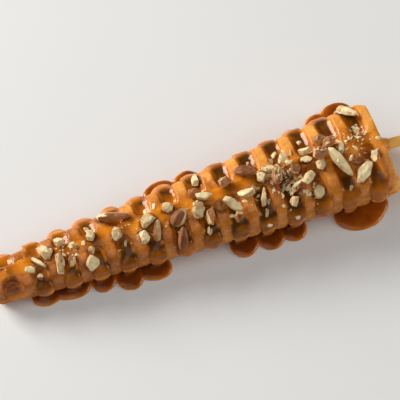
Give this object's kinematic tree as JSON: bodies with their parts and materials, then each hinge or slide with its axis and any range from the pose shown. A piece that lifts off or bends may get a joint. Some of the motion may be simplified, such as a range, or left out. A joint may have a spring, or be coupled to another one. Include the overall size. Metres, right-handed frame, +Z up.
{
  "type": "stick waffle",
  "caption": "Long tapered waffle baked round a wooden stick, with pockets in two rows, caramel sauce over it and in puddles beside it, and chopped almonds.",
  "frame": {"origin": "on the flat lower ridge, under the rib in the middle of the waffle", "axes": "+X along the waffle from its tip to the stick, +Z up, +Y towards the far side; it lies with the sauced side up"},
  "size_m": [0.3368, 0.0913, 0.0517],
  "materials": {
    "baked_waffle": "baked crust, matt to satin",
    "caramel": "wet gloss",
    "almond": "matt",
    "stick_wood": "plain"
  },
  "bodies": {
    "root": {"waffle": "baked_waffle", "stick": "stick_wood", "caramel": "caramel", "almond_01": "almond", "almond_02": "almond", "almond_03": "almond", "almond_04": "almond", "almond_05": "almond", "almond_06": "almond", "almond_07": "almond", "almond_08": "almond", "almond_09": "almond", "almond_10": "almond", "almond_11": "almond", "almond_12": "almond", "almond_13": "almond", "almond_14": "almond", "almond_15": "almond", "almond_16": "almond", "almond_17": "almond", "almond_18": "almond", "almond_19": "almond", "almond_20": "almond", "almond_21": "almond", "almond_22": "almond", "almond_23": "almond", "almond_24": "almond", "almond_25": "almond", "almond_26": "almond", "almond_27": "almond", "almond_28": "almond", "almond_29": "almond", "almond_30": "almond", "almond_31": "almond", "almond_32": "almond", "almond_33": "almond", "almond_34": "almond", "almond_35": "almond", "almond_36": "almond", "almond_37": "almond", "almond_38": "almond", "almond_39": "almond", "almond_40": "almond", "almond_41": "almond", "almond_42": "almond", "almond_43": "almond", "almond_44": "almond", "almond_45": "almond", "almond_46": "almond", "almond_47": "almond", "almond_48": "almond", "almond_49": "almond", "almond_50": "almond"}
  },
  "joints": []
}
